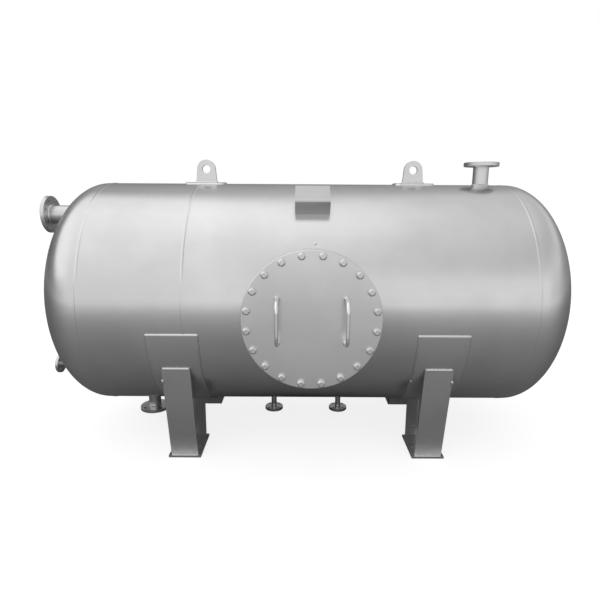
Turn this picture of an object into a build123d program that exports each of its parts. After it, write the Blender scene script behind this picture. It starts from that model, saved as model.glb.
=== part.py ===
from build123d import *
import os
from math import asin, atan2, cos, hypot, pi, radians, sin, sqrt, tan

# Horizontal pressure tank on two pairs of welded legs, in millimetres.
# The tank lies along X and its manhole faces -Y, which is called the front.
# The origin is on the ground, midway between the four legs.

# Vessel
shell_diameter = 1300
shell_wall = 8
shell_length = 2280
short_course_length = 518
head_depth = 325
head_skirt = 25
head_wall = 10
axis_height = 862

# Room left for the weld between a curved face and the piece that sits on it
weld_gap = 0.3

# Manhole neck, its flange and its bolted cover
manhole_x = 14
manhole_reach = 115
manhole_neck_diameter = 530
manhole_neck_wall = 10
manhole_flange_diameter = 670
manhole_flange_thickness = 30
manhole_bolt_circle = 620
manhole_bolt_count = 20
manhole_bolt_hole = 26
gasket_thickness = 3
gasket_inner_diameter = 540
gasket_outer_diameter = 590
cover_thickness = 28
cover_chamfer = 2

# Bent bar handles on the cover
handle_bar = 18
handle_length = 232
handle_reach = 90
handle_bend = 55
handle_spacing = 325

# How far a pipe reaches past the inside of the wall, and stays behind its flange's face
pipe_inset = 10
pipe_recess = 5
flange_chamfer = 1.5

# Pipes by name: outside diameter and wall
pipe_diameter = {"dn25": 33.7, "dn65": 76, "dn80": 89, "dn100": 108}
pipe_wall = {"dn25": 3.2, "dn65": 4.5, "dn80": 4.5, "dn100": 5}

# Flat plate flanges for the same pipes
flange_diameter = {"dn25": 115, "dn65": 185, "dn80": 200, "dn100": 220}
flange_thickness = {"dn25": 18, "dn65": 20, "dn80": 22, "dn100": 22}
flange_bolt_circle = {"dn25": 85, "dn65": 145, "dn80": 160, "dn100": 180}
flange_bolt_count = {"dn25": 4, "dn65": 4, "dn80": 8, "dn100": 8}
flange_bolt_hole = {"dn25": 14, "dn65": 18, "dn80": 18, "dn100": 18}

# Nozzles on the shell: distance from the nearest head seam, or place along X near the middle,
# and reach from the shell to the flange's face
top_nozzle_inset = 108
top_nozzle_reach = 130
drain_nozzle_inset = 152
bottom_nozzle_reach = 136
bottom_left_nozzle_x = -206
bottom_right_nozzle_x = 212

# Nozzles on the left head: distance in from the highest or lowest line of the shell,
# and reach from the end of the head's skirt
upper_end_nozzle_inset = 186
upper_end_nozzle_reach = 396
lower_end_nozzle_inset = 165
lower_end_nozzle_reach = 428

# Lifting lugs, each on its own pad: mean distance from the head seams, width at the foot and round the hole
lug_inset = 526
lug_width = 124
lug_head = 108
lug_thickness = 20
lug_hole = 48
lug_hole_height = 84
lug_pad_length = 222
lug_pad_width = 150
lug_pad_thickness = 8
lug_pad_corner = 25

# Nameplate bracket, a plate bent to a U that stands off the upper front of the shell
bracket_x = 22
bracket_width = 180
bracket_seat = 148
bracket_standoff = 76
bracket_angle = 55
bracket_plate = 5
bracket_bend = 8

# Pads that wrap the belly over the legs
pad_width = 254
pad_thickness = 8
pad_wrap = 161
pad_corner = 3

# Legs: an outer plate that leans out to the tank, an upright inner plate, a web between them and a foot,
# with the middle of each leg at its distance from the head seam
leg_inset = 458
leg_width = 148
leg_plate = 10
leg_web = 10
leg_top_angle = 27.4
leg_outer_y = 486
leg_inner_y = 238
foot_width = 180
foot_thickness = 12
foot_lip = 5
anchor_hole = 24
anchor_spacing = 116

# Stock left on a piece before its end is cut to the curve that it sits on
trim_stock = 60

# Sizes that follow from those above
shell_radius = shell_diameter / 2
shell_inside = shell_radius - shell_wall
weld_x = shell_length / 2
tangent_x = weld_x + head_skirt
seam_x = short_course_length - weld_x
top_nozzle_x = weld_x - top_nozzle_inset
drain_nozzle_x = drain_nozzle_inset - weld_x
upper_end_nozzle_rise = shell_radius - upper_end_nozzle_inset
lower_end_nozzle_rise = lower_end_nozzle_inset - shell_radius
lug_spacing = shell_length - 2 * lug_inset
leg_x = weld_x - leg_inset
pad_seat = shell_radius + weld_gap
leg_seat = pad_seat + pad_thickness + weld_gap
lug_seat = pad_seat + lug_pad_thickness + weld_gap
cover_face = shell_radius + manhole_reach
cover_back = cover_face - cover_thickness
manhole_flange_face = cover_back - gasket_thickness
manhole_bolt_start = 180 / manhole_bolt_count

# Planes through the tank's axis: the side view, and the ones that nozzles point along
side_plane = Plane(origin=(0, 0, axis_height), x_dir=(1, 0, 0), z_dir=(0, -1, 0))
tank_axis = Axis((0, 0, axis_height), (1, 0, 0))
manhole_plane = Plane(origin=(manhole_x, 0, axis_height), x_dir=(1, 0, 0), z_dir=(0, -1, 0))


def save(piece, name):
    """Label a finished piece and write it to its own file."""
    piece.part.label = name
    export_step(piece.part, f"parts/{name}.step")


def radial_plane(x, up):
    """Plane on the tank's axis at x, facing straight up or straight down."""
    return Plane(origin=(x, 0, axis_height), x_dir=(1, 0, 0), z_dir=(0, 0, up))


def end_plane(rise):
    """Plane on the left head's tangent line, facing left, at a height over the tank's axis."""
    return Plane(origin=(-tangent_x, 0, axis_height + rise), x_dir=(0, -1, 0), z_dir=(-1, 0, 0))


def cut_hole(plane, diameter):
    """Cut a round hole from the plane outwards through the wall of the piece being built."""
    with BuildSketch(plane) as hole:
        Circle(diameter / 2 + weld_gap)
    extrude(hole.sketch, amount=shell_diameter, mode=Mode.SUBTRACT)


def cut_to_curve(x, radius, width):
    """Take away what lies inside a cylinder round the tank's axis."""
    with Locations((x, 0, axis_height)):
        Cylinder(radius, width, rotation=(0, 90, 0), mode=Mode.SUBTRACT)


def course(name, start, end, holes):
    """One rolled plate of the shell, with a hole for each (plane, pipe diameter)."""
    with BuildPart() as plate:
        with BuildSketch(Plane.YZ.offset(start)):
            with Locations((0, axis_height)):
                Circle(shell_radius)
                Circle(shell_inside, mode=Mode.SUBTRACT)
        extrude(amount=end - start)
        for plane, diameter in holes:
            cut_hole(plane, diameter)
    save(plate, name)


def head(name, side, holes):
    """A dished end: a short straight skirt, then half an ellipse turned round the tank's axis."""
    start_x = side * weld_x
    rim_x = side * tangent_x
    outer_end = (rim_x + side * head_depth, 0)
    inner_depth = head_depth - head_wall
    inner_radius = shell_radius - head_wall
    pole_angle = 90 - 90 * side
    sweep_angle = 90 * side
    with BuildPart() as dish:
        with BuildSketch(side_plane):
            with BuildLine():
                Line((start_x, inner_radius), (start_x, shell_radius))
                Line((start_x, shell_radius), (rim_x, shell_radius))
                EllipticalCenterArc((rim_x, 0), head_depth, shell_radius, pole_angle, arc_size=sweep_angle)
                Line(outer_end, (rim_x + side * inner_depth, 0))
                EllipticalCenterArc((rim_x, 0), inner_depth, inner_radius, pole_angle, arc_size=sweep_angle)
                Line((rim_x, inner_radius), (start_x, inner_radius))
            make_face()
        revolve(axis=tank_axis)
        for plane, diameter in holes:
            cut_hole(plane, diameter)
    save(dish, name)


def nozzle(name, plane, size, wall_at, face_at):
    """A pipe through the wall and the flange round its end, measured outwards from the plane."""
    radius = pipe_diameter[size] / 2
    thickness = flange_thickness[size]
    start = wall_at - pipe_inset
    with BuildPart() as pipe:
        with BuildSketch(plane.offset(start)):
            Circle(radius)
            Circle(radius - pipe_wall[size], mode=Mode.SUBTRACT)
        extrude(amount=face_at - pipe_recess - start)
    save(pipe, f"{name}_pipe")

    bolts = flange_bolt_count[size]
    with BuildPart() as flange:
        with BuildSketch(plane.offset(face_at - thickness)):
            Circle(flange_diameter[size] / 2)
        extrude(amount=thickness)
        chamfer(flange.edges(), length=flange_chamfer)
        with BuildSketch(plane.offset(face_at - thickness)):
            Circle(radius + weld_gap)
            with PolarLocations(flange_bolt_circle[size] / 2, bolts, start_angle=180 / bolts):
                Circle(flange_bolt_hole[size] / 2)
        extrude(amount=thickness, mode=Mode.SUBTRACT)
    save(flange, f"{name}_flange")


def shell_nozzle(name, x, up, size, reach):
    """A nozzle that stands straight up or hangs straight down from the shell."""
    wall_at = sqrt(shell_inside**2 - (pipe_diameter[size] / 2) ** 2)
    nozzle(name, radial_plane(x, up), size, wall_at, shell_radius + reach)


def end_nozzle(name, rise, size, reach):
    """A level nozzle on the left head, from where its pipe's outer edge leaves the dish."""
    edge = abs(rise) + pipe_diameter[size] / 2
    inner_radius = shell_radius - head_wall
    wall_at = (head_depth - head_wall) * sqrt(1 - (edge / inner_radius) ** 2)
    nozzle(name, end_plane(rise), size, wall_at, reach)


def curved_plate(name, x, middle_angle, wrap, length, thickness, corner):
    """A plate bent round the shell, with rounded corners, centred at an angle from +Y."""
    first_angle = middle_angle - wrap / 2
    centre = (0, axis_height)
    with BuildPart() as plate:
        with BuildSketch(Plane.YZ.offset(x)):
            with BuildLine():
                inner = CenterArc(centre, pad_seat, first_angle, wrap)
                outer = CenterArc(centre, pad_seat + thickness, first_angle, wrap)
                Line(inner @ 0, outer @ 0)
                Line(inner @ 1, outer @ 1)
            make_face()
        extrude(amount=length / 2, both=True)
        fillet(plate.edges().group_by(SortBy.LENGTH)[0], radius=corner)
    save(plate, name)


def cover_handle(name, x):
    """A round bar bent to a U, with both ends flat on the cover."""
    reach_y = -cover_face - handle_reach + handle_bar / 2
    half = (handle_length - handle_bar) / 2
    low = axis_height - half
    high = axis_height + half
    with BuildPart() as handle:
        with BuildLine(Plane.YZ.offset(x)) as bar:
            FilletPolyline(
                (-cover_face, low), (reach_y, low), (reach_y, high), (-cover_face, high), radius=handle_bend
            )
        with BuildSketch(Plane(origin=bar.line @ 0, z_dir=bar.line % 0)):
            Circle(handle_bar / 2)
        sweep()
    save(handle, name)


def lifting_lug(name, x):
    """An upright plate that narrows to a round head about its hole, cut to sit on its pad."""
    hole_z = shell_radius + lug_hole_height
    base_z = shell_radius
    with BuildPart() as lug:
        with BuildSketch(side_plane):
            with BuildLine():
                CenterArc((x, hole_z), lug_head / 2, 0, 360)
                Line((x - lug_width / 2, base_z), (x + lug_width / 2, base_z))
            make_hull()
            with Locations((x, hole_z)):
                Circle(lug_hole / 2, mode=Mode.SUBTRACT)
        extrude(amount=lug_thickness / 2, both=True)
        cut_to_curve(x, lug_seat, lug_width + trim_stock)
    save(lug, name)


def leg_piece(name, x, outline, width, coped):
    """One plate of a leg, drawn in side view and as wide as given, cut to the belly pad where asked."""
    with BuildPart() as plate:
        with BuildSketch(Plane.YZ.offset(x)):
            with BuildLine():
                Polyline(*outline, close=True)
            make_face()
        extrude(amount=width / 2, both=True)
        if coped:
            cut_to_curve(x, leg_seat, width + trim_stock)
    save(plate, name)


def leg(name, end, side):
    """One leg: end is -1 at the left and 1 at the right, side is -1 at the front and 1 at the back."""
    x = end * leg_x
    top_angle = radians(leg_top_angle)
    seat_y = leg_seat * cos(top_angle)
    seat_z = axis_height - leg_seat * sin(top_angle)

    # The outer plate leans so that its outside meets the foot and its inside corner meets the pad
    run = seat_y - leg_outer_y
    rise = seat_z - foot_thickness
    lean = atan2(run, rise) + asin(leg_plate / hypot(run, rise))
    inside_y = leg_outer_y - leg_plate / cos(lean)
    stock_y = seat_y + trim_stock * tan(lean)
    web_start = leg_inner_y + leg_plate
    inner_top_z = axis_height - sqrt(leg_seat**2 - web_start**2) + trim_stock

    outer_outline = [
        (side * leg_outer_y, foot_thickness),
        (side * (seat_y + leg_plate * cos(lean)), seat_z - leg_plate * sin(lean)),
        (side * seat_y, seat_z),
        (side * inside_y, foot_thickness),
    ]
    web_outline = [
        (side * web_start, foot_thickness),
        (side * inside_y, foot_thickness),
        (side * stock_y, seat_z + trim_stock),
        (side * web_start, inner_top_z),
    ]
    inner_outline = [
        (side * leg_inner_y, foot_thickness),
        (side * web_start, foot_thickness),
        (side * web_start, inner_top_z),
        (side * leg_inner_y, inner_top_z),
    ]
    leg_piece(f"{name}_outer_plate", x, outer_outline, leg_width, False)
    leg_piece(f"{name}_web", x, web_outline, leg_web, True)
    leg_piece(f"{name}_inner_plate", x, inner_outline, leg_width, True)

    foot_near = leg_inner_y - foot_lip
    foot_far = leg_outer_y + foot_lip
    foot_y = side * (foot_near + foot_far) / 2
    with BuildPart() as foot:
        with BuildSketch():
            with Locations((x, foot_y)):
                Rectangle(foot_width, foot_far - foot_near)
                with GridLocations(anchor_spacing, 0, 2, 1):
                    Circle(anchor_hole / 2, mode=Mode.SUBTRACT)
        extrude(amount=foot_thickness)
    save(foot, f"{name}_foot")


os.makedirs("parts", exist_ok=True)

# Shell courses and dished ends
course(
    "long_course",
    seam_x,
    weld_x,
    [
        (manhole_plane, manhole_neck_diameter),
        (radial_plane(top_nozzle_x, 1), pipe_diameter["dn80"]),
        (radial_plane(bottom_left_nozzle_x, -1), pipe_diameter["dn25"]),
        (radial_plane(bottom_right_nozzle_x, -1), pipe_diameter["dn25"]),
    ],
)
course("short_course", -weld_x, seam_x, [(radial_plane(drain_nozzle_x, -1), pipe_diameter["dn65"])])
head("right_head", 1, [])
head(
    "left_head",
    -1,
    [
        (end_plane(upper_end_nozzle_rise), pipe_diameter["dn100"]),
        (end_plane(lower_end_nozzle_rise), pipe_diameter["dn25"]),
    ],
)

# Manhole
neck_radius = manhole_neck_diameter / 2
neck_start = sqrt(shell_inside**2 - neck_radius**2) - pipe_inset
with BuildPart() as manhole_neck:
    with BuildSketch(manhole_plane.offset(neck_start)):
        Circle(neck_radius)
        Circle(neck_radius - manhole_neck_wall, mode=Mode.SUBTRACT)
    extrude(amount=manhole_flange_face - pipe_recess - neck_start)
save(manhole_neck, "manhole_neck")

with BuildPart() as manhole_flange:
    with BuildSketch(manhole_plane.offset(manhole_flange_face - manhole_flange_thickness)):
        Circle(manhole_flange_diameter / 2)
        Circle(neck_radius + weld_gap, mode=Mode.SUBTRACT)
        with PolarLocations(manhole_bolt_circle / 2, manhole_bolt_count, start_angle=manhole_bolt_start):
            Circle(manhole_bolt_hole / 2, mode=Mode.SUBTRACT)
    extrude(amount=manhole_flange_thickness)
save(manhole_flange, "manhole_flange")

with BuildPart() as manhole_gasket:
    with BuildSketch(manhole_plane.offset(manhole_flange_face)):
        Circle(gasket_outer_diameter / 2)
        Circle(gasket_inner_diameter / 2, mode=Mode.SUBTRACT)
    extrude(amount=gasket_thickness)
save(manhole_gasket, "manhole_gasket")

with BuildPart() as manhole_cover:
    with BuildSketch(manhole_plane.offset(cover_back)):
        Circle(manhole_flange_diameter / 2)
    extrude(amount=cover_thickness)
    chamfer(manhole_cover.edges(), length=cover_chamfer)
    with BuildSketch(manhole_plane.offset(cover_back)):
        with PolarLocations(manhole_bolt_circle / 2, manhole_bolt_count, start_angle=manhole_bolt_start):
            Circle(manhole_bolt_hole / 2)
    extrude(amount=cover_thickness, mode=Mode.SUBTRACT)
save(manhole_cover, "manhole_cover")

cover_handle("left_cover_handle", manhole_x - handle_spacing / 2)
cover_handle("right_cover_handle", manhole_x + handle_spacing / 2)

# Nozzles
shell_nozzle("top_nozzle", top_nozzle_x, 1, "dn80", top_nozzle_reach)
shell_nozzle("drain_nozzle", drain_nozzle_x, -1, "dn65", bottom_nozzle_reach)
shell_nozzle("bottom_left_nozzle", bottom_left_nozzle_x, -1, "dn25", bottom_nozzle_reach)
shell_nozzle("bottom_right_nozzle", bottom_right_nozzle_x, -1, "dn25", bottom_nozzle_reach)
end_nozzle("upper_end_nozzle", upper_end_nozzle_rise, "dn100", upper_end_nozzle_reach)
end_nozzle("lower_end_nozzle", lower_end_nozzle_rise, "dn25", lower_end_nozzle_reach)

# Lifting lugs and their pads
lug_pad_wrap = 360 * lug_pad_width / (2 * pi * pad_seat)
for side_name, side in (("left", -1), ("right", 1)):
    lug_x = manhole_x + side * lug_spacing / 2
    curved_plate(
        f"{side_name}_lug_pad", lug_x, 90, lug_pad_wrap, lug_pad_length, lug_pad_thickness, lug_pad_corner
    )
    lifting_lug(f"{side_name}_lifting_lug", lug_x)

# Nameplate bracket, drawn across its U and then cut to the shell
bracket_tilt = radians(bracket_angle)
seat_at = shell_radius + bracket_standoff
bracket_plane = Plane(
    origin=(bracket_x, -seat_at * cos(bracket_tilt), axis_height + seat_at * sin(bracket_tilt)),
    x_dir=(0, sin(bracket_tilt), cos(bracket_tilt)),
    z_dir=(1, 0, 0),
)
outer_half = bracket_seat / 2
inner_half = outer_half - bracket_plate
bracket_foot = -bracket_standoff - trim_stock
with BuildPart() as nameplate_bracket:
    with BuildSketch(bracket_plane):
        with BuildLine():
            FilletPolyline(
                (-outer_half, bracket_foot),
                (-outer_half, 0),
                (outer_half, 0),
                (outer_half, bracket_foot),
                radius=bracket_bend + bracket_plate,
            )
            Line((outer_half, bracket_foot), (inner_half, bracket_foot))
            FilletPolyline(
                (inner_half, bracket_foot),
                (inner_half, -bracket_plate),
                (-inner_half, -bracket_plate),
                (-inner_half, bracket_foot),
                radius=bracket_bend,
            )
            Line((-inner_half, bracket_foot), (-outer_half, bracket_foot))
        make_face()
    extrude(amount=bracket_width / 2, both=True)
    cut_to_curve(bracket_x, pad_seat, bracket_width + trim_stock)
save(nameplate_bracket, "nameplate_bracket")

# Belly pads and the four legs
for end_name, end in (("left", -1), ("right", 1)):
    curved_plate(f"{end_name}_belly_pad", end * leg_x, 270, pad_wrap, pad_width, pad_thickness, pad_corner)
    for side_name, side in (("front", -1), ("back", 1)):
        leg(f"{end_name}_{side_name}_leg", end, side)
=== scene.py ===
import math
import bpy
import numpy as np
from mathutils import Matrix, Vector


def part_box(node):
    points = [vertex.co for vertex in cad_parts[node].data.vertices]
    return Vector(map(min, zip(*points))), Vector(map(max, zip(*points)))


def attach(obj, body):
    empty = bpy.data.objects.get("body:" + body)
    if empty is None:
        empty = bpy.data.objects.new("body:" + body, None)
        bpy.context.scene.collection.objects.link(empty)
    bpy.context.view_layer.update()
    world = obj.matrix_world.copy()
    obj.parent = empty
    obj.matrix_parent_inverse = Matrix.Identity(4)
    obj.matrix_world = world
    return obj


# Looks of the horizontal pressure tank: silver paint, weld beads, manhole bolts, a pale floor and soft light.
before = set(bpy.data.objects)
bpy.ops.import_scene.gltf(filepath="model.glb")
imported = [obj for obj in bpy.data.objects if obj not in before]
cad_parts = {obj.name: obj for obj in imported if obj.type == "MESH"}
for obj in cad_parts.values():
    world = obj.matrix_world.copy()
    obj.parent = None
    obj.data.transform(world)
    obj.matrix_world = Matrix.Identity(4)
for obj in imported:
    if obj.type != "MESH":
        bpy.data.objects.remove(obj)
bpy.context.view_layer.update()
scene = bpy.context.scene
chance = np.random.default_rng(7)

# Sizes of the tank that the new pieces sit on, in metres
AXIS_HEIGHT = 0.862
SHELL_RADIUS = 0.650
PAD_RADIUS = 0.6586  # outside of the pads under the legs and the lugs
HEAD_SEAM_X = 1.140
TANGENT_X = 1.165
HEAD_DEPTH = 0.325
COURSE_SEAM_X = -0.622

MANHOLE_X = 0.014
NECK_RADIUS = 0.265
COVER_FACE_Y = -0.765
FLANGE_BACK_Y = -0.704
BOLT_CIRCLE = 0.310
BOLT_COUNT = 20

HANDLE_OFFSET_X = 0.1625
HANDLE_OFFSET_Z = 0.107
HANDLE_RADIUS = 0.009

LUG_X = (-0.600, 0.628)
LUG_HALF_WIDTH = 0.062
LUG_HALF_THICKNESS = 0.010
LUG_CORNER = 0.002
LUG_PAD_HALF_LENGTH = 0.111
LUG_PAD_HALF_WRAP = 0.075 / SHELL_RADIUS
LUG_PAD_CORNER = 0.025

BELLY_PAD_X = (-0.682, 0.682)
BELLY_PAD_HALF_LENGTH = 0.127
BELLY_PAD_HALF_WRAP = math.radians(80.5)
BELLY_PAD_CORNER = 0.003
BEAD_STOP_ANGLE = math.radians(-36.6)
BEAD_STOP_OFF_EDGE = 0.002
BEAD_STOP_LIFT = 0.006
BEAD_STOP_SIZES = (0.012, 0.008, 0.006)

BRACKET_X = 0.022
BRACKET_HALF_LENGTH = 0.090
BRACKET_HALF_SEAT = 0.074
BRACKET_ANGLE = math.radians(55)
BRACKET_WELDED_SHARE = 0.95

LEG_X = BELLY_PAD_X
LEG_HALF_WIDTH = 0.074
LEG_PLATE = 0.010
LEG_HALF_WEB = 0.005
LEG_TOP_ANGLE = math.radians(27.4)
LEG_OUTER_Y = 0.486
LEG_INNER_Y = 0.238
FOOT_TOP_Z = 0.012
DROP_UNDER_TOP = 0.075
DROP_LIFT = 0.7 * LEG_PLATE
DROP_SIZES = (0.017, 0.009, 0.009)

BOSS_X = 0.034
BOSS_ANGLE = math.radians(32)
BOSS_RADIUS = 0.006
BOSS_HEIGHT = 0.005

# Weld beads: length of a step along the bead, ripples, unevenness, and the roundness of the section
WELD_STEP = 0.0022
RIPPLE_PITCH = 0.0075
RIPPLE_DEPTH = 0.16
RIPPLE_BOW = 0.45
RIPPLE_MEAN = 0.64  # of the absolute sine
FILLET_WANDER = 0.2
FILLET_ROOT_SHARE = 0.3
WELD_POINTS = 8
WELD_BULGE = 1.55
WELD_SINK = 0.0007

# Caps over the shell's butt seams
SEAM_HALF_WIDTH = 0.0115
LENGTH_SEAM_HEIGHT = 0.0021
SEAM_RIPPLE_SHARE = 0.4
SEAM_WANDER = 0.3
SEAM_ROOT = 0.003
SEAM_ROOM_SHARE = 0.8

# Fillet beads: the leg of each one's triangle, in metres; a share or a spread multiplies it
NECK_BEAD = 0.011
MANHOLE_FLANGE_BEAD = 0.009
HANDLE_BEAD = 0.006
PIPE_BEAD = 0.007
SMALL_PIPE_BEAD = 0.005
SMALL_PIPE_RADIUS = 0.03
NOZZLE_FLANGE_SHARE = 0.85
LUG_BEAD = 0.007
BRACKET_BEAD = 0.004
BOSS_BEAD = 0.003
BELLY_PAD_BEAD = 0.0066
BELLY_PAD_SPREAD = 1.35
LEG_TOP_BEAD = 0.011
LEG_INNER_BEAD = 0.007
FOOT_BEAD = 0.0045
WEB_BEAD = 0.006


# Surfaces worked out as whole arrays

def unit(vectors):
    """Each vector divided by its own length."""
    return vectors / np.linalg.norm(vectors, axis=-1, keepdims=True)


def stack(x, y, z):
    """Points from their three coordinates, spread to a common shape."""
    return np.stack(np.broadcast_arrays(x, y, z), axis=-1).astype(float)


def turns(count):
    """Equal angles once round a circle, without the repeat of the first."""
    return np.linspace(0, 2 * np.pi, count, endpoint=False)


def quads(rows, columns, round_rows, round_columns):
    """Corners of the cells of a grid; a round direction joins its last line to its first."""
    row = np.arange(rows if round_rows else rows - 1)[:, None]
    column = np.arange(columns if round_columns else columns - 1)[None, :]
    below = (row + 1) % rows
    right = (column + 1) % columns
    corners = [
        row * columns + column,
        below * columns + column,
        below * columns + right,
        row * columns + right,
    ]
    return np.stack(corners, axis=-1).reshape(-1, 4)


def outward(points, face_sets):
    """The same faces turned to look outwards: the volume summed over fans of triangles comes out positive."""
    centred = points - points.mean(axis=0)
    volume = 0.0
    for faces in face_sets:
        fans = np.cross(centred[faces[:, 1:-1]], centred[faces[:, 2:]])
        volume += (centred[faces[:, :1]] * fans).sum()
    if volume < 0:
        face_sets = [faces[:, ::-1] for faces in face_sets]
    return points, face_sets


def carried(sections, closed):
    """A closed section carried along a path, as (stations, points of the section); open ends get faces."""
    stations, around = sections.shape[:2]
    face_sets = [quads(stations, around, closed, True)]
    if not closed:
        first = np.arange(around)[None, :]
        face_sets += [first, (stations - 1) * around + first[:, ::-1]]
    return outward(sections.reshape(-1, 3), face_sets)


def wander(count, strength):
    """A slow unevenness along a bead: 1 plus a few sine waves of whole turns with chance phases."""
    place = turns(count)[:, None]
    waves = np.arange(3, 12)
    return 1 + strength * np.sin(place * waves + chance.uniform(0, 2 * np.pi, waves.size)).mean(axis=1)


def along_path(path, closed):
    """Length along a path at each of its points, and its whole length."""
    steps = np.linalg.norm(np.diff(path, axis=0, append=path[:1]), axis=1)
    along = np.concatenate([[0.0], np.cumsum(steps[:-1])])
    return along, steps.sum() if closed else along[-1]


def end_taper(along, total, reach, closed):
    """Share of the full size near the ends of an open bead: a quarter circle over the reach."""
    if closed:
        return np.ones_like(along)
    near = np.clip(np.minimum(along, total - along) / reach, 0, 1)
    return np.sqrt(np.clip(1 - (1 - near) ** 2, 0.04, 1))


def fillet_weld(path, side_a, side_b, leg, closed=True, spread=1.0):
    """A bead in the corner of two surfaces.

    Each section runs from leg along side_a to leg times spread along side_b on the curve a^n + b^n = 1, and
    closes through a point sunk behind the corner. Its face swells and dips with the absolute sine of the
    length along the bead, bowed across it, so the ripples lie like crescents.
    """
    path = path - WELD_SINK * (side_a + side_b)
    along, total = along_path(path, closed)
    ripples = max(1, round(total / RIPPLE_PITCH))
    turn = np.linspace(0, np.pi / 2, WELD_POINTS)
    part_a = np.cos(turn) ** (2 / WELD_BULGE)
    part_b = np.sin(turn) ** (2 / WELD_BULGE)
    phase = along[:, None] * ripples / total + RIPPLE_BOW * np.sin(2 * turn)
    swell = 1 + RIPPLE_DEPTH * (np.abs(np.sin(np.pi * phase)) - RIPPLE_MEAN) * np.sin(2 * turn)
    size = (leg * end_taper(along, total, leg, closed) * wander(len(path), FILLET_WANDER))[:, None] * swell
    face = (
        path[:, None]
        + (size * part_a)[..., None] * side_a[:, None]
        + (spread * size * part_b)[..., None] * side_b[:, None]
    )
    root = path - FILLET_ROOT_SHARE * leg * unit(side_a + side_b)
    return carried(np.concatenate([face, root[:, None]], axis=1), closed)


def seam_weld(path, across, normal, half_width, height, closed=True):
    """A low cap over a butt seam: a cosine hump, faintly rippled along it, its edges sunk in the plate."""
    along, total = along_path(path, closed)
    ripples = max(1, round(total / RIPPLE_PITCH))
    place = np.linspace(-1, 1, WELD_POINTS + 1)
    arch = (1 + np.cos(np.pi * place)) / 2
    phase = along[:, None] * ripples / total - RIPPLE_BOW * arch
    swell = 1 + SEAM_RIPPLE_SHARE * RIPPLE_DEPTH * (np.abs(np.sin(np.pi * phase)) - RIPPLE_MEAN)
    width = half_width * wander(len(path), SEAM_WANDER) * end_taper(along, total, half_width, closed)
    rise = height[:, None] * arch * swell - WELD_SINK * (1 - arch)
    face = (
        path[:, None]
        + (width[:, None] * place)[..., None] * across[:, None]
        + rise[..., None] * normal[:, None]
    )
    root = path - SEAM_ROOT * normal
    return carried(np.concatenate([face, root[:, None]], axis=1), closed)


def weld_drop(centre, along, across, out, sizes):
    """A drop of weld: an ellipsoid from its half sizes in three square directions, with small end caps."""
    turn = turns(24)[None, :, None]
    lift = np.linspace(-0.49, 0.49, 13)[:, None, None] * np.pi
    level = np.cos(lift) * (np.cos(turn) * sizes[0] * along + np.sin(turn) * sizes[1] * across)
    return carried(np.array(centre) + level + np.sin(lift) * sizes[2] * out, False)


# Curves on the tank that the beads follow

def on_shell(x, angle, radius):
    """Points on a cylinder round the tank's axis; the angle starts at the front and goes up."""
    return stack(x, -radius * np.cos(angle), AXIS_HEIGHT + radius * np.sin(angle))


def shell_normal(angle):
    """Outward direction of the shell at an angle."""
    return stack(0, -np.cos(angle), np.sin(angle))


def shell_upward(angle):
    """Direction round the shell in which the angle grows."""
    return stack(0, np.sin(angle), np.cos(angle))


def ring(centre, axis, radius):
    """Points of a circle about an axis, and the direction away from its centre at each of them."""
    axis = unit(np.array(axis, float))
    first = unit(np.cross(axis, [0.3, 0.5, 0.8]))
    second = np.cross(axis, first)
    angle = turns(max(24, round(2 * np.pi * radius / WELD_STEP)))[:, None]
    away = np.cos(angle) * first + np.sin(angle) * second
    return np.array(centre, float) + radius * away, away


def ring_weld(centre, axis, radius, leg):
    """A fillet round a bar or pipe that stands square on a flat face, where axis leads away from the face."""
    path, away = ring(centre, axis, radius)
    return fillet_weld(path, np.broadcast_to(unit(np.array(axis, float)), path.shape), away, leg)


def against(away, normal):
    """The part of a direction that lies in the surface with that normal, at full length."""
    return unit(away - (away * normal).sum(axis=1, keepdims=True) * normal)


def rounded_outline(half_a, half_b, corner):
    """Outline of a rectangle with round corners.

    Gives the places along both sides and the outward directions. The four quarter circles turn evenly,
    and the straight runs between them are filled at the weld's own step.
    """
    centre_a, centre_b = half_a - corner, half_b - corner
    bends = max(6, round(corner * np.pi / 2 / WELD_STEP))
    turn = np.linspace(0, np.pi / 2, bends)
    places, directions = [], []
    for quarter, (sign_a, sign_b) in enumerate([(1, 1), (-1, 1), (-1, -1), (1, -1)]):
        angle = turn + quarter * np.pi / 2
        direction = np.stack([np.cos(angle), np.sin(angle)], axis=1)
        places.append(np.array([sign_a * centre_a, sign_b * centre_b]) + corner * direction)
        directions.append(direction)
        run = 2 * (centre_a if quarter % 2 == 0 else centre_b)
        share = np.linspace(0, 1, max(3, round(run / WELD_STEP)))[1:-1, None]
        step = np.array([[-run, 0], [0, -run], [run, 0], [0, run]][quarter])
        places.append(places[-1][-1] + share * step)
        directions.append(np.broadcast_to(direction[-1], (len(share), 2)))
    return np.concatenate(places), np.concatenate(directions)


def plate_edge_weld(x, middle, half_length, half_wrap, corner, leg, spread=1.0):
    """A fillet round the edge of a plate that is bent to the shell, at a middle angle."""
    place, away = rounded_outline(half_length, half_wrap * SHELL_RADIUS, corner)
    angle = middle + place[:, 1] / SHELL_RADIUS
    path = on_shell(x + place[:, 0], angle, SHELL_RADIUS)
    side = away[:, :1] * np.array([1.0, 0, 0]) + away[:, 1:] * shell_upward(angle)
    return fillet_weld(path, shell_normal(angle), side, leg, spread=spread)


def pipe_on_shell(x, up, radius, leg):
    """A fillet where an upright pipe meets the shell: z is the root of the radius squared less y squared."""
    angle = turns(round(2 * np.pi * radius / WELD_STEP))
    y = radius * np.sin(angle)
    z = up * np.sqrt(SHELL_RADIUS**2 - y**2)
    path = stack(x + radius * np.cos(angle), y, AXIS_HEIGHT + z)
    away = stack(np.cos(angle), np.sin(angle), 0)
    normal = stack(0, y, z) / SHELL_RADIUS
    return fillet_weld(path, stack(0 * y, 0, up), against(away, normal), leg)


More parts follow.
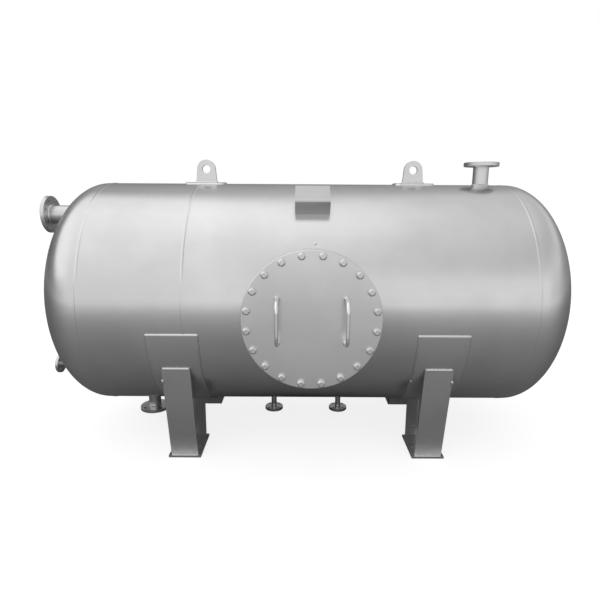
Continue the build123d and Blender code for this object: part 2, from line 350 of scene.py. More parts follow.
def pipe_on_head(rise, radius, leg):
    """A fillet where a level pipe meets the left head, on the ellipsoid of the dish."""
    angle = turns(round(2 * np.pi * radius / WELD_STEP))
    y = radius * np.cos(angle)
    z = rise + radius * np.sin(angle)
    depth = HEAD_DEPTH * np.sqrt(1 - (y**2 + z**2) / SHELL_RADIUS**2)
    path = stack(-TANGENT_X - depth, y, AXIS_HEIGHT + z)
    away = stack(0, np.cos(angle), np.sin(angle))
    normal = unit(stack(-depth / HEAD_DEPTH**2, y / SHELL_RADIUS**2, z / SHELL_RADIUS**2))
    return fillet_weld(path, stack(-1 + 0 * y, 0, 0), against(away, normal), leg)


def straight_weld(start, end, side_a, side_b, leg):
    """A fillet along a straight corner between two points."""
    start, end = np.array(start, float), np.array(end, float)
    count = max(8, round(np.linalg.norm(end - start) / WELD_STEP))
    path = start + np.linspace(0, 1, count)[:, None] * (end - start)
    side_a = np.broadcast_to(unit(np.array(side_a, float)), path.shape)
    side_b = np.broadcast_to(unit(np.array(side_b, float)), path.shape)
    return fillet_weld(path, side_a, side_b, leg, closed=False)


# Node groups and finishes

def new_group(name, inputs, outputs):
    """An empty shader group from the (name, kind) of its inputs and outputs."""
    group = bpy.data.node_groups.new(name, "ShaderNodeTree")
    for label, kind in inputs:
        group.interface.new_socket(label, in_out="INPUT", socket_type=kind)
    for label, kind in outputs:
        group.interface.new_socket(label, in_out="OUTPUT", socket_type=kind)
    return group, group.nodes.new("NodeGroupInput"), group.nodes.new("NodeGroupOutput")


def add(tree, kind, values=None, **settings):
    """A node with its settings; each value is set on an input, or linked to it where it is a socket."""
    node = tree.nodes.new(kind)
    for key, value in settings.items():
        setattr(node, key, value)
    for key, value in (values or {}).items():
        if isinstance(value, bpy.types.NodeSocket):
            tree.links.new(value, node.inputs[key])
        else:
            node.inputs[key].default_value = value
    return node


def math_node(tree, operation, a, b=0.0, clamp=False):
    """A Math node's result."""
    return add(tree, "ShaderNodeMath", {0: a, 1: b}, operation=operation, use_clamp=clamp).outputs[0]


def weighted(tree, start, *terms):
    """A number plus each (value, weight) multiplied out."""
    total = start
    for value, weight in terms:
        total = math_node(tree, "ADD", total, math_node(tree, "MULTIPLY", value, weight))
    return total


def mapped(tree, value, low, high, to_low, to_high, smooth=True):
    """A value carried from one range to another and held at the ends."""
    node = add(
        tree,
        "ShaderNodeMapRange",
        {"Value": value, "From Min": low, "From Max": high, "To Min": to_low, "To Max": to_high},
        interpolation_type="SMOOTHSTEP" if smooth else "LINEAR",
    )
    return node.outputs["Result"]


def stretched(tree, vector, scale):
    """Coordinates scaled by three numbers."""
    return add(tree, "ShaderNodeMapping", {"Vector": vector, "Scale": scale}).outputs["Vector"]


def noise(tree, vector, scale, detail, rough=0.5):
    """Fractal noise between 0 and 1."""
    node = add(
        tree,
        "ShaderNodeTexNoise",
        {"Vector": vector, "Scale": scale, "Detail": detail, "Roughness": rough},
    )
    return node.outputs["Fac"]


def spray_group():
    """Uneven sprayed paint: broad clouds, faint streaks along the tank, and an orange peel of two sizes."""
    group, given, result = new_group(
        "uneven_spray",
        [("Vector", "NodeSocketVector")],
        [("Clouds", "NodeSocketFloat"), ("Streaks", "NodeSocketFloat"), ("Peel", "NodeSocketFloat")],
    )
    vector = given.outputs["Vector"]
    clouds = noise(group, vector, 2.6, 4.0, 0.55)
    streaks = noise(group, stretched(group, vector, (1.2, 34.0, 34.0)), 1.0, 3.0, 0.6)
    coarse = noise(group, vector, 75.0, 2.0)
    fine = noise(group, vector, 420.0, 2.0)
    peel = weighted(group, 0.0, (coarse, 0.6), (fine, 0.4))
    group.links.new(clouds, result.inputs["Clouds"])
    group.links.new(streaks, result.inputs["Streaks"])
    group.links.new(peel, result.inputs["Peel"])
    return group


def lighter_foot_group():
    """Lighter at the foot: full there, thinning by a power of the height left, broken up by noise."""
    group, given, result = new_group(
        "lighter_foot_mask",
        [("Vector", "NodeSocketVector"), ("Height", "NodeSocketFloat")],
        [("Mask", "NodeSocketFloat")],
    )
    vector = given.outputs["Vector"]
    z = add(group, "ShaderNodeSeparateXYZ", {"Vector": vector}).outputs["Z"]
    share = math_node(group, "DIVIDE", z, given.outputs["Height"])
    left = math_node(group, "SUBTRACT", 1.0, share, True)
    fade = math_node(group, "MULTIPLY", math_node(group, "POWER", left, 7.0), 1.3, True)
    broken = mapped(group, noise(group, vector, 30.0, 5.0, 0.65), 0.3, 0.75, 0.7, 1.0)
    group.links.new(math_node(group, "MULTIPLY", fade, broken, True), result.inputs["Mask"])
    return group


SPRAY = spray_group()
LIGHTER_FOOT = lighter_foot_group()
PEEL_DEPTH = 0.0006
# The grey that the plates turn towards at the foot, and the roughness added there
LIGHTER_FOOT_LEVEL = 0.80
LIGHTER_FOOT_ROUGHNESS = 0.4


def grey(level):
    """A neutral colour."""
    return (level, level, level, 1.0)


def mix_colour(tree, factor, first, second):
    """A Mix node between two colours."""
    return add(tree, "ShaderNodeMix", {0: factor, 6: first, 7: second}, data_type="RGBA").outputs[2]


def silver_paint(name, level, rough, peel, cloud=0.05, streak=0.11, lighter_foot_height=0.0, metallic=1.0):
    """Aluminium flake paint: grey metal, clouded and streaked by the spray, with an orange peel.

    A height above 0 makes the paint lighter, duller and less metallic towards the foot, thinning out up to
    there.
    """
    material = bpy.data.materials.new(name)
    material.use_nodes = True
    tree = material.node_tree
    shader = tree.nodes["Principled BSDF"]
    place = add(tree, "ShaderNodeTexCoord").outputs["Object"]
    spray = add(tree, "ShaderNodeGroup", node_tree=SPRAY)
    tree.links.new(place, spray.inputs["Vector"])
    clouds = mapped(tree, spray.outputs["Clouds"], 0.3, 0.7, 0.0, 1.0)
    colour = mix_colour(tree, clouds, grey(level * (1 - cloud)), grey(level * (1 + cloud)))
    roughness = mapped(tree, spray.outputs["Streaks"], 0.25, 0.75, rough * (1 - streak), rough * (1 + streak))
    shader.inputs["Metallic"].default_value = metallic
    if lighter_foot_height:
        # Lighter, duller and less metallic towards the foot, by the mask of the group
        lighter_foot = add(tree, "ShaderNodeGroup", node_tree=LIGHTER_FOOT)
        tree.links.new(place, lighter_foot.inputs["Vector"])
        lighter_foot.inputs["Height"].default_value = lighter_foot_height
        mask = lighter_foot.outputs["Mask"]
        colour = mix_colour(tree, mask, colour, grey(LIGHTER_FOOT_LEVEL))
        roughness = weighted(tree, roughness, (mask, LIGHTER_FOOT_ROUGHNESS))
        tree.links.new(mapped(tree, mask, 0.0, 1.0, metallic, 0.0), shader.inputs["Metallic"])
    relief = spray.outputs["Peel"]
    bump = add(tree, "ShaderNodeBump", {"Strength": peel, "Distance": PEEL_DEPTH, "Height": relief})
    tree.links.new(colour, shader.inputs["Base Color"])
    tree.links.new(roughness, shader.inputs["Roughness"])
    tree.links.new(bump.outputs["Normal"], shader.inputs["Normal"])
    return material


def gasket_rubber():
    """Dark rubber sheet with a fine grain."""
    material = bpy.data.materials.new("gasket_rubber")
    material.use_nodes = True
    tree = material.node_tree
    shader = tree.nodes["Principled BSDF"]
    place = add(tree, "ShaderNodeTexCoord").outputs["Object"]
    grain = noise(tree, place, 260.0, 3.0, 0.6)
    colour = mix_colour(tree, grain, grey(0.018), grey(0.045))
    tree.links.new(colour, shader.inputs["Base Color"])
    tree.links.new(mapped(tree, grain, 0.3, 0.7, 0.55, 0.75), shader.inputs["Roughness"])
    bump = add(tree, "ShaderNodeBump", {"Strength": 0.3, "Distance": 0.0004, "Height": grain})
    tree.links.new(bump.outputs["Normal"], shader.inputs["Normal"])
    return material


SHELL_PAINT = silver_paint("shell_silver", 0.62, 0.235, 0.10)
MANHOLE_PAINT = silver_paint("manhole_silver", 0.70, 0.29, 0.14, streak=0.03)
FITTING_PAINT = silver_paint("fitting_silver", 0.63, 0.30, 0.16)
LEG_PAINT = silver_paint("leg_silver", 0.50, 0.30, 0.16, metallic=0.8)
# The outer plates' paint turns lighter, duller and less metallic towards the foot, up to 0.45 m
FOOT_LIGHTENED_PAINT = silver_paint("foot_lightened_leg_silver", 0.50, 0.30, 0.16, lighter_foot_height=0.45, metallic=0.8)
WELD_PAINT = silver_paint("weld_silver", 0.68, 0.26, 0.20)
LEG_WELD_PAINT = silver_paint("leg_weld_silver", 0.60, 0.30, 0.20)
BOLT_PAINT = silver_paint("bolt_silver", 0.68, 0.36, 0.16)
BRACKET_PAINT = silver_paint("bracket_silver", 0.51, 0.32, 0.16)
HANDLE_PAINT = silver_paint("handle_silver", 0.84, 0.28, 0.14, streak=0.03)
GASKET_RUBBER = gasket_rubber()

FINISHES = {
    "shell_paint": SHELL_PAINT,
    "manhole_paint": MANHOLE_PAINT,
    "fitting_paint": FITTING_PAINT,
    "leg_paint": LEG_PAINT,
    "gasket_rubber": GASKET_RUBBER,
}


def node_slot(name):
    """The record's slot of a node, by the part of the tank that it belongs to."""
    if "gasket" in name:
        return "gasket_rubber"
    if "manhole" in name or "handle" in name:
        return "manhole_paint"
    if "leg" in name or "belly" in name:
        return "leg_paint"
    if "course" in name or "head" in name:
        return "shell_paint"
    return "fitting_paint"


def node_paint(name):
    """A node's finish: its slot's own, but for the dull bracket, light handles and outer plates that turn
    lighter towards the foot.
    """
    if "bracket" in name:
        return BRACKET_PAINT
    if "handle" in name:
        return HANDLE_PAINT
    if "outer_plate" in name:
        return FOOT_LIGHTENED_PAINT
    return FINISHES[node_slot(name)]


for node_name, node_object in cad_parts.items():
    node_object.data.materials.clear()
    node_object.data.materials.append(node_paint(node_name))


def make_piece(name, bodies, material, sharp_angle=None):
    """One object from several bodies, each (points, face sets), painted and fixed to the tank."""
    starts = np.cumsum([0] + [len(points) for points, _ in bodies])
    points = np.concatenate([body[0] for body in bodies])
    corners, sizes = [], []
    for (_, face_sets), start in zip(bodies, starts):
        for faces in face_sets:
            corners.append((faces + start).ravel())
            sizes.append(np.full(len(faces), faces.shape[1]))
    corners, sizes = np.concatenate(corners), np.concatenate(sizes)
    mesh = bpy.data.meshes.new(name)
    mesh.vertices.add(len(points))
    mesh.vertices.foreach_set("co", points.astype(np.float32).ravel())
    mesh.loops.add(len(corners))
    mesh.loops.foreach_set("vertex_index", corners.astype(np.int32))
    mesh.polygons.add(len(sizes))
    mesh.polygons.foreach_set("loop_start", (np.cumsum(sizes) - sizes).astype(np.int32))
    mesh.polygons.foreach_set("use_smooth", np.ones(len(sizes), bool))
    mesh.update(calc_edges=True)
    mesh.validate()
    if sharp_angle:
        mesh.set_sharp_from_angle(angle=sharp_angle)
    mesh.materials.append(material)
    piece = bpy.data.objects.new(name, mesh)
    scene.collection.objects.link(piece)
    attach(piece, "root")


# Shell seams
def girth_seam(x, full_height):
    """A cap bead round the shell, pressed down where it would stand past the plane of the tank's back."""
    angle = turns(round(2 * np.pi * SHELL_RADIUS / WELD_STEP))
    backward = np.clip(-np.cos(angle), 1e-6, 1)
    room = np.where(np.cos(angle) < 0, SHELL_RADIUS / backward - SHELL_RADIUS, 1.0)
    height = np.minimum(full_height, room * SEAM_ROOM_SHARE)
    across = stack(np.ones_like(angle), 0, 0)
    path = on_shell(x, angle, SHELL_RADIUS)
    return seam_weld(path, across, shell_normal(angle), SEAM_HALF_WIDTH, height)


def length_seam(start, end, angle):
    """A cap bead along the shell at one angle."""
    count = round(abs(end - start) / WELD_STEP)
    x = np.linspace(start, end, count)
    angle = np.full(count, angle)
    path = on_shell(x, angle, SHELL_RADIUS)
    height = np.full(count, LENGTH_SEAM_HEIGHT)
    return seam_weld(path, shell_upward(angle), shell_normal(angle), SEAM_HALF_WIDTH, height, closed=False)


GIRTH_SEAMS = {
    "left_head": (-HEAD_SEAM_X, 0.0020),
    "course": (COURSE_SEAM_X, 0.0022),
    "right_head": (HEAD_SEAM_X, 0.0012),
}
for seam_name, (seam_x, seam_height) in GIRTH_SEAMS.items():
    make_piece(f"{seam_name}_seam_weld", [girth_seam(seam_x, seam_height)], SHELL_PAINT)
make_piece(
    "length_seam_welds",
    [
        length_seam(COURSE_SEAM_X, HEAD_SEAM_X, math.radians(140)),
        length_seam(-HEAD_SEAM_X, COURSE_SEAM_X, math.radians(160)),
    ],
    SHELL_PAINT,
)


# Manhole welds
def neck_on_shell(leg):
    """A fillet where the manhole's neck meets the shell: y is the root of radius squared less z squared."""
    angle = turns(round(2 * np.pi * NECK_RADIUS / WELD_STEP))
    z = NECK_RADIUS * np.sin(angle)
    y = -np.sqrt(SHELL_RADIUS**2 - z**2)
    path = stack(MANHOLE_X + NECK_RADIUS * np.cos(angle), y, AXIS_HEIGHT + z)
    away = stack(np.cos(angle), 0, np.sin(angle))
    normal = stack(0, y, z) / SHELL_RADIUS
    return fillet_weld(path, stack(0 * y, -1, 0), against(away, normal), leg)


make_piece(
    "manhole_welds",
    [
        neck_on_shell(NECK_BEAD),
        ring_weld((MANHOLE_X, FLANGE_BACK_Y, AXIS_HEIGHT), (0, 1, 0), NECK_RADIUS, MANHOLE_FLANGE_BEAD),
    ],
    WELD_PAINT,
)
make_piece(
    "handle_welds",
    [
        ring_weld(
            (MANHOLE_X + side * HANDLE_OFFSET_X, COVER_FACE_Y, AXIS_HEIGHT + up * HANDLE_OFFSET_Z),
            (0, -1, 0),
            HANDLE_RADIUS,
            HANDLE_BEAD,
        )
        for side in (-1, 1)
        for up in (-1, 1)
    ],
    WELD_PAINT,
)

# Nozzle welds: where each pipe meets the tank, and round the back of its flange
NOZZLE_AXES = {
    "top": (0, 0, 1),
    "drain": (0, 0, -1),
    "bottom_left": (0, 0, -1),
    "bottom_right": (0, 0, -1),
    "upper_end": (-1, 0, 0),
    "lower_end": (-1, 0, 0),
}
nozzle_welds = []
for nozzle_name, nozzle_axis in NOZZLE_AXES.items():
    pipe_low, pipe_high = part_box(f"{nozzle_name}_nozzle_pipe")
    flange_low, flange_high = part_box(f"{nozzle_name}_nozzle_flange")
    pipe_middle = (pipe_low + pipe_high) / 2
    pipe_radius = (pipe_high.y - pipe_low.y) / 2
    bead_leg = SMALL_PIPE_BEAD if pipe_radius < SMALL_PIPE_RADIUS else PIPE_BEAD
    if nozzle_axis[2]:
        nozzle_welds.append(pipe_on_shell(pipe_middle.x, nozzle_axis[2], pipe_radius, bead_leg))
        back_z = flange_low.z if nozzle_axis[2] > 0 else flange_high.z
        back = (pipe_middle.x, 0, back_z)
    else:
        nozzle_welds.append(pipe_on_head(pipe_middle.z - AXIS_HEIGHT, pipe_radius, bead_leg))
        back = (flange_high.x, 0, pipe_middle.z)
    flange_leg = bead_leg * NOZZLE_FLANGE_SHARE
    nozzle_welds.append(ring_weld(back, [-part for part in nozzle_axis], pipe_radius, flange_leg))
make_piece("nozzle_welds", nozzle_welds, WELD_PAINT)


# Lifting lugs on their pads, and the nameplate bracket
def lug_foot_weld(x, leg):
    """A fillet round the foot of a lug, on the curved pad."""
    place, away = rounded_outline(LUG_HALF_WIDTH, LUG_HALF_THICKNESS, LUG_CORNER)
    angle = np.pi / 2 + place[:, 1] / PAD_RADIUS
    path = on_shell(x + place[:, 0], angle, PAD_RADIUS)
    side = away[:, :1] * np.array([1.0, 0, 0]) + away[:, 1:] * shell_upward(angle)
    return fillet_weld(path, shell_normal(angle), side, leg)


make_piece(
    "lug_welds",
    [lug_foot_weld(x, LUG_BEAD) for x in LUG_X]
    + [
        plate_edge_weld(x, np.pi / 2, LUG_PAD_HALF_LENGTH, LUG_PAD_HALF_WRAP, LUG_PAD_CORNER, LUG_BEAD)
        for x in LUG_X
    ],
    WELD_PAINT,
)

# The bracket's lower foot is welded from the inside, so only the upper bead shows
bracket_foot_angle = BRACKET_ANGLE + math.asin(BRACKET_HALF_SEAT / SHELL_RADIUS)
bracket_ends = on_shell(
    BRACKET_X + np.array([-1, 1]) * BRACKET_WELDED_SHARE * BRACKET_HALF_LENGTH,
    np.full(2, bracket_foot_angle),
    SHELL_RADIUS,
)
bracket_weld = straight_weld(
    *bracket_ends, shell_normal(BRACKET_ANGLE), shell_upward(bracket_foot_angle), BRACKET_BEAD
)
make_piece("bracket_weld", [bracket_weld], BRACKET_PAINT)

# Belly pads, with one thick stop in the bead on the right pad's inner edge
stop_x = BELLY_PAD_X[1] - BELLY_PAD_HALF_LENGTH - BEAD_STOP_OFF_EDGE
bead_stop = weld_drop(
    on_shell(stop_x, BEAD_STOP_ANGLE, SHELL_RADIUS + BEAD_STOP_LIFT),
    shell_upward(BEAD_STOP_ANGLE),
    np.array([1.0, 0, 0]),
    shell_normal(BEAD_STOP_ANGLE),
    BEAD_STOP_SIZES,
)
make_piece(
    "belly_pad_welds",
    [bead_stop]
    + [
        plate_edge_weld(
            x,
            -np.pi / 2,
            BELLY_PAD_HALF_LENGTH,
            BELLY_PAD_HALF_WRAP,
            BELLY_PAD_CORNER,
            BELLY_PAD_BEAD,
            BELLY_PAD_SPREAD,
        )
        for x in BELLY_PAD_X
    ],
    LEG_WELD_PAINT,
)


# Leg welds
def leg_welds(x, side):
    """The welds of one leg: plates to the pad, web to plates, plates to foot; side is -1 at the front."""
    seat_y = PAD_RADIUS * math.cos(LEG_TOP_ANGLE)
    seat_z = AXIS_HEIGHT - PAD_RADIUS * math.sin(LEG_TOP_ANGLE)
    run, rise = seat_y - LEG_OUTER_Y, seat_z - FOOT_TOP_Z
    lean = math.atan2(run, rise) + math.asin(LEG_PLATE / math.hypot(run, rise))
    inside_y = LEG_OUTER_Y - LEG_PLATE / math.cos(lean)
    web_y = LEG_INNER_Y + LEG_PLATE
    inner_z = AXIS_HEIGHT - math.sqrt(PAD_RADIUS**2 - LEG_INNER_Y**2)
    left_end, right_end = [x - LEG_HALF_WIDTH, 0, 0], [x + LEG_HALF_WIDTH, 0, 0]
    up_plate = np.array([0, side * math.sin(lean), math.cos(lean)])
    out_plate = np.array([0, side * math.cos(lean), -math.sin(lean)])
    pad_up = np.array([0, side * math.sin(LEG_TOP_ANGLE), math.cos(LEG_TOP_ANGLE)])
    pad_slope = (0, -side * math.sqrt(1 - (LEG_INNER_Y / PAD_RADIUS) ** 2), -LEG_INNER_Y / PAD_RADIUS)

    # Across the plates' whole width: over the outer plate's top end, in the notch between its square end and
    # the pad; the outsides of the outer and the inner plate on the foot; the inner plate on the pad
    corner = np.array([0, side * seat_y, seat_z])
    foot_out = np.array([0, side * LEG_OUTER_Y, FOOT_TOP_Z])
    foot_in = np.array([0, side * LEG_INNER_Y, FOOT_TOP_Z])
    pad_in = np.array([0, side * LEG_INNER_Y, inner_z])
    beads = [
        straight_weld(middle + left_end, middle + right_end, side_a, side_b, bead_leg)
        for middle, side_a, side_b, bead_leg in (
            (corner, out_plate, pad_up, LEG_TOP_BEAD),
            (foot_out, up_plate, (0, side, 0), FOOT_BEAD),
            (foot_in, (0, 0, 1), (0, -side, 0), FOOT_BEAD),
            (pad_in, (0, 0, -1), pad_slope, LEG_INNER_BEAD),
        )
    ]

    for face in (-1, 1):
        web_x = x + face * LEG_HALF_WEB
        away = (face, 0, 0)
        # Web to both plates and to the foot
        low_in, low_out = [web_x, side * web_y, FOOT_TOP_Z], [web_x, side * inside_y, FOOT_TOP_Z]
        web_in_z = AXIS_HEIGHT - math.sqrt(PAD_RADIUS**2 - web_y**2)
        beads.append(straight_weld(low_in, [web_x, side * web_y, web_in_z], away, (0, side, 0), WEB_BEAD))
        beads.append(straight_weld(low_out, [web_x, side * seat_y, seat_z], away, -out_plate, WEB_BEAD))
        beads.append(straight_weld(low_in, low_out, away, (0, 0, 1), WEB_BEAD))
        # Web to the pad, along the curve
        first = math.acos(web_y / PAD_RADIUS)
        angle = -np.linspace(first, LEG_TOP_ANGLE, round((first - LEG_TOP_ANGLE) * PAD_RADIUS / WELD_STEP))
        path = on_shell(web_x, angle, PAD_RADIUS) * np.array([1, -side, 1])
        inward = shell_normal(angle) * np.array([1, -side, 1])
        outside = np.broadcast_to(np.array(away, float), path.shape)
        beads.append(fillet_weld(path, inward, outside, WEB_BEAD, closed=False))

    # A drop of weld on the outer plate's edge away from the middle of the tank, under its top end
    edge_x = np.array([math.copysign(1.0, x), 0, 0])
    drop = corner + DROP_LIFT * out_plate - DROP_UNDER_TOP * up_plate + [x, 0, 0] + LEG_HALF_WIDTH * edge_x
    beads.append(weld_drop(drop, up_plate, edge_x, out_plate, DROP_SIZES))
    return beads


make_piece(
    "leg_welds",
    [bead for x in LEG_X for side in (-1, 1) for bead in leg_welds(x, side)],
    LEG_WELD_PAINT,
)


# Manhole bolts
BOLT_SIDES = 36
ACROSS_FLATS = 0.034
FLAT_END_SHARE = 0.66
HEX_BEVEL = math.radians(36)
WASHER_RADIUS = 0.0188
WASHER_THICKNESS = 0.003
WASHER_BEVEL = 0.0006
HEAD_HEIGHT = 0.015
NUT_HEIGHT = 0.0195
SHANK_RADIUS = 0.0118
SHANK_START = 0.001
SHANK_SHOULDER = 0.007
SHANK_TIP = 0.009
SHANK_BEVEL = 0.0015


def hexagon(angle, across_flats):
    """Distance from the middle of a hexagon to its side: half the flats over the cosine off the flat."""
    off_flat = (angle + np.pi / 6) % (np.pi / 3) - np.pi / 6
    return across_flats / 2 / np.cos(off_flat)


def turned(rings, place, spin):
    """Rings of (radius, height along -Y) round a bolt's axis, with end faces; spin turns the flats."""
    angle = turns(BOLT_SIDES)
    grid = np.stack(
        [
            stack(radius * np.cos(angle + spin), -height + 0 * angle, radius * np.sin(angle + spin))
            for radius, height in rings
        ]
    )
    return carried(grid + np.array(place), False)


def hex_rings(across_flats, base, height):
    """A hexagon with a bevelled end: past the flat end's circle the rim drops by the bevel's tangent."""
    radius = hexagon(turns(BOLT_SIDES), across_flats)
    flat_end = np.full(BOLT_SIDES, across_flats / 2 * FLAT_END_SHARE)
    rim = base + height - (radius - flat_end) * math.tan(HEX_BEVEL)
    level = np.ones(BOLT_SIDES)
    return [(radius, base * level), (radius, rim), (flat_end, (base + height) * level)]


def round_rings(*pairs):
    """Plain circles from (radius, height) pairs."""
    return [(np.full(BOLT_SIDES, radius), np.full(BOLT_SIDES, height)) for radius, height in pairs]


def flipped(rings):
    """The same rings, standing the other way."""
    return [(radius, -height) for radius, height in rings]


heads, nuts = [], []
bolt_angles = np.radians((np.arange(BOLT_COUNT) + 0.5) * 360 / BOLT_COUNT)
shank_base = WASHER_THICKNESS + NUT_HEIGHT
washer = round_rings(
    (WASHER_RADIUS - WASHER_BEVEL, 0.0),
    (WASHER_RADIUS, WASHER_BEVEL),
    (WASHER_RADIUS, WASHER_THICKNESS - WASHER_BEVEL),
    (WASHER_RADIUS - WASHER_BEVEL, WASHER_THICKNESS),
)
head = hex_rings(ACROSS_FLATS, WASHER_THICKNESS, HEAD_HEIGHT)
nut = hex_rings(ACROSS_FLATS, WASHER_THICKNESS, NUT_HEIGHT)
shank = round_rings(
    (SHANK_RADIUS, SHANK_START),
    (SHANK_RADIUS, shank_base + SHANK_SHOULDER),
    (SHANK_RADIUS - SHANK_BEVEL, shank_base + SHANK_TIP),
)
for bolt_angle, head_spin, nut_spin in zip(bolt_angles, *chance.uniform(0, np.pi / 3, (2, BOLT_COUNT))):
    x = MANHOLE_X + BOLT_CIRCLE * math.cos(bolt_angle)
    z = AXIS_HEIGHT + BOLT_CIRCLE * math.sin(bolt_angle)
    front, back = (x, COVER_FACE_Y, z), (x, FLANGE_BACK_Y, z)
    heads += [turned(rings, front, head_spin) for rings in (washer, head)]
    nuts += [turned(flipped(rings), back, nut_spin) for rings in (washer, nut, shank)]
make_piece("manhole_bolt_heads", heads, BOLT_PAINT, math.radians(25))
make_piece("manhole_bolt_nuts", nuts, BOLT_PAINT, math.radians(25))


# Small boss on the shell over the manhole
def boss(x, angle, radius, height):
    """A short turned stud on the shell: rings of a rounded profile about the shell's outward direction."""
    outward_axis, up_axis = shell_normal(angle), shell_upward(angle)
    round_angle = turns(40)[None, :, None]
    profile = np.array([[1.0, -0.3], [1.0, 0.75], [0.93, 0.93], [0.8, 1.0], [0.3, 1.0]])
    away = np.cos(round_angle) * np.array([1.0, 0, 0]) + np.sin(round_angle) * up_axis
    base = on_shell(x, angle, SHELL_RADIUS)
    grid = base + radius * profile[:, :1, None] * away + height * profile[:, 1:, None] * outward_axis
    return carried(grid, False)


boss_base = on_shell(BOSS_X, BOSS_ANGLE, SHELL_RADIUS)
make_piece(
    "shell_boss",
    [
        boss(BOSS_X, BOSS_ANGLE, BOSS_RADIUS, BOSS_HEIGHT),
        ring_weld(boss_base, shell_normal(BOSS_ANGLE), BOSS_RADIUS, BOSS_BEAD),
    ],
    WELD_PAINT,
    math.radians(40),
)


# Floor, light and camera
FLOOR_HALF = 45.0
FLOOR_LEVEL = 0.30
FLOOR_GLOW = 0.82
GLOSS_FLOOR_LEVEL = 0.06
HAZE_REACH = 15.0
HAZE_POWER = 0.63
HAZE_START = 0.11
HAZE_STRENGTH = 0.2
RAMP_TOP = 2.0
SKY_LEVELS = [(-90, 0.8), (0, 1.0), (12, 1.06), (30, 1.04), (60, 1.20), (85, 1.40)]


def pale_floor():
    """A wide flat floor: pale to the camera, and in the tank's gloss a dark grey under a haze.

    The haze grows with a power of the distance, in ovals round the tank, and is strongest in front.
    """
    corners = FLOOR_HALF * np.array([[-1, -1, 0], [1, -1, 0], [1, 1, 0], [-1, 1, 0]])
    mesh = bpy.data.meshes.new("floor")
    mesh.from_pydata(corners.tolist(), [], [[0, 1, 2, 3]])
    floor = bpy.data.objects.new("floor", mesh)
    scene.collection.objects.link(floor)

    material = bpy.data.materials.new("pale_floor")
    material.use_nodes = True
    tree = material.node_tree
    tree.nodes.clear()
    place = add(tree, "ShaderNodeTexCoord").outputs["Object"]
    footprint = stretched(tree, place, (0.4, 1.0, 1.0))
    distance = add(tree, "ShaderNodeVectorMath", {0: footprint}, operation="LENGTH").outputs["Value"]
    pale = add(tree, "ShaderNodeBsdfDiffuse", {"Color": grey(FLOOR_LEVEL)}).outputs[0]
    glow = add(tree, "ShaderNodeEmission", {"Color": grey(1.0), "Strength": FLOOR_GLOW}).outputs[0]
    to_camera = add(tree, "ShaderNodeAddShader", {0: pale, 1: glow}).outputs[0]

    far = math_node(tree, "POWER", math_node(tree, "MINIMUM", distance, HAZE_REACH), HAZE_POWER)
    far = math_node(tree, "MAXIMUM", math_node(tree, "SUBTRACT", far, HAZE_START), 0.0)
    bearing = add(tree, "ShaderNodeVectorMath", {0: footprint}, operation="NORMALIZE").outputs["Vector"]
    bearing = add(tree, "ShaderNodeSeparateXYZ", {"Vector": bearing})
    front = weighted(tree, 0.56, (bearing.outputs["Y"], -0.40), (bearing.outputs["X"], 0.03))
    glare = math_node(tree, "MULTIPLY", math_node(tree, "MULTIPLY", far, front), HAZE_STRENGTH)
    ground = add(tree, "ShaderNodeBsdfDiffuse", {"Color": grey(GLOSS_FLOOR_LEVEL)}).outputs[0]
    haze = add(tree, "ShaderNodeEmission", {"Color": grey(1.0), "Strength": glare})
    to_gloss = add(tree, "ShaderNodeAddShader", {0: ground, 1: haze.outputs[0]}).outputs[0]

    path = add(tree, "ShaderNodeLightPath").outputs["Is Camera Ray"]
    seen = add(tree, "ShaderNodeMixShader", {0: path, 1: to_gloss, 2: to_camera}).outputs[0]
    under = add(tree, "ShaderNodeNewGeometry").outputs["Backfacing"]
    clear = add(tree, "ShaderNodeBsdfTransparent").outputs[0]
    top_only = add(tree, "ShaderNodeMixShader", {0: under, 1: seen, 2: clear}).outputs[0]
    add(tree, "ShaderNodeOutputMaterial", {"Surface": top_only})
    mesh.materials.append(material)


def height_ramp(tree, sine, levels):
    """Brightness by height above the horizon: (degrees, level) stops placed at the sine of the height."""
    ramp = add(tree, "ShaderNodeValToRGB", {"Fac": mapped(tree, sine, -1.0, 1.0, 0.0, 1.0, smooth=False)})
    stops = ramp.color_ramp.elements
    for number, (degrees, level) in enumerate(levels):
        place = (math.sin(math.radians(degrees)) + 1) / 2
        stop = stops[number] if number < 2 else stops.new(place)
        stop.position = place
        stop.color = grey(level / RAMP_TOP)
    return math_node(tree, "MULTIPLY", ramp.outputs["Color"], RAMP_TOP)


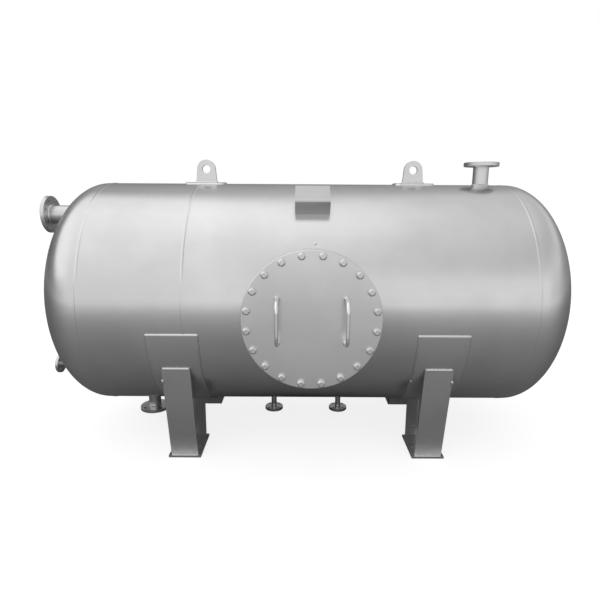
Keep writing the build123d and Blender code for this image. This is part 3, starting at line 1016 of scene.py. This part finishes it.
def studio_light():
    """A soft dome: brightest overhead and to the left, dimmer to the right, with a dim wall at the back."""
    world = bpy.data.worlds.new("soft_studio")
    scene.world = world
    world.use_nodes = True
    tree = world.node_tree
    tree.nodes.clear()
    direction = add(tree, "ShaderNodeTexCoord").outputs["Generated"]
    parts = add(tree, "ShaderNodeSeparateXYZ", {"Vector": direction})
    x, y, z = (parts.outputs[axis] for axis in "XYZ")
    sky = height_ramp(tree, z, SKY_LEVELS)
    right = mapped(tree, x, -0.3, 0.6, 0.0, 0.38)
    right_dim = math_node(tree, "MULTIPLY", right, mapped(tree, z, 0.2, 0.66, 0.0, 1.0))
    left_glow = mapped(tree, x, -0.95, -0.35, 0.28, 0.0)
    far_right = math_node(tree, "MAXIMUM", math_node(tree, "SUBTRACT", x, 0.3), 0.0)
    low_right = mapped(tree, far_right, 0.22, 0.62, 0.0, mapped(tree, z, 0.15, 0.55, 0.24, 0.0))
    right_dim = math_node(tree, "ADD", right_dim, low_right)
    sideways = math_node(tree, "ADD", math_node(tree, "SUBTRACT", 1.0, right_dim), left_glow)
    sky = math_node(tree, "MULTIPLY", sky, sideways)

    # The wall: dim behind the tank and as bright as the sky in front; its blurred upper edge is higher behind
    # than at the sides, and falls to the right
    level_square = math_node(tree, "SUBTRACT", 1.0, math_node(tree, "MULTIPLY", z, z))
    level_part = math_node(tree, "SQRT", math_node(tree, "MAXIMUM", level_square, 0.001))
    behind = math_node(tree, "DIVIDE", y, level_part)
    behind_square = math_node(tree, "MULTIPLY", behind, behind)
    wall = weighted(tree, 0.48, (behind, -0.60), (behind_square, 0.25), (x, 0.08))
    height_share = math_node(tree, "MULTIPLY", z, 0.6)
    climb = math_node(tree, "MULTIPLY", height_share, math_node(tree, "MAXIMUM", behind, 0.0))
    wall = math_node(tree, "MINIMUM", math_node(tree, "ADD", wall, climb), 1.0)
    edge = weighted(tree, 0.2, (behind, 0.3), (behind_square, 0.38))
    lower = weighted(tree, 0.0, (far_right, 0.6), (x, 0.3))
    edge = math_node(tree, "SUBTRACT", edge, math_node(tree, "MULTIPLY", lower, behind_square))
    over = mapped(tree, math_node(tree, "SUBTRACT", z, edge), -0.14, 0.12, 0.0, 1.0)
    level = add(tree, "ShaderNodeMix", {0: over, 2: wall, 3: sky}, data_type="FLOAT").outputs[0]
    light = add(tree, "ShaderNodeBackground", {"Color": grey(1.0), "Strength": level}).outputs[0]
    white = add(tree, "ShaderNodeBackground", {"Color": grey(1.0), "Strength": 1.0}).outputs[0]
    path = add(tree, "ShaderNodeLightPath").outputs["Is Camera Ray"]
    seen = add(tree, "ShaderNodeMixShader", {0: path, 1: light, 2: white}).outputs[0]
    add(tree, "ShaderNodeOutputWorld", {"Surface": seen})


# The camera: sensor and lens in millimetres, angles in degrees
SENSOR_WIDTH = 36.0
LENS = 28.29
CAMERA_PLACE = (-0.0454, -2.9032, 1.409)
CAMERA_HEADING = -0.11
CAMERA_DOWN = 11.76
CAMERA_LEAN = 0.34


def photo_camera():
    """The camera in front of the tank, a little under its top: it looks down and leans slightly."""
    data = bpy.data.cameras.new("camera")
    data.sensor_width = SENSOR_WIDTH
    data.lens = LENS
    camera = bpy.data.objects.new("camera", data)
    camera.location = CAMERA_PLACE
    heading = Matrix.Rotation(math.radians(CAMERA_HEADING), 3, "Z")
    pitch = Matrix.Rotation(math.radians(90 - CAMERA_DOWN), 3, "X")
    lean = Matrix.Rotation(math.radians(CAMERA_LEAN), 3, "Z")
    camera.rotation_euler = (heading @ pitch @ lean).to_euler()
    scene.collection.objects.link(camera)
    scene.camera = camera


pale_floor()
studio_light()
photo_camera()
scene.view_settings.view_transform = "Standard"
scene.view_settings.look = "None"
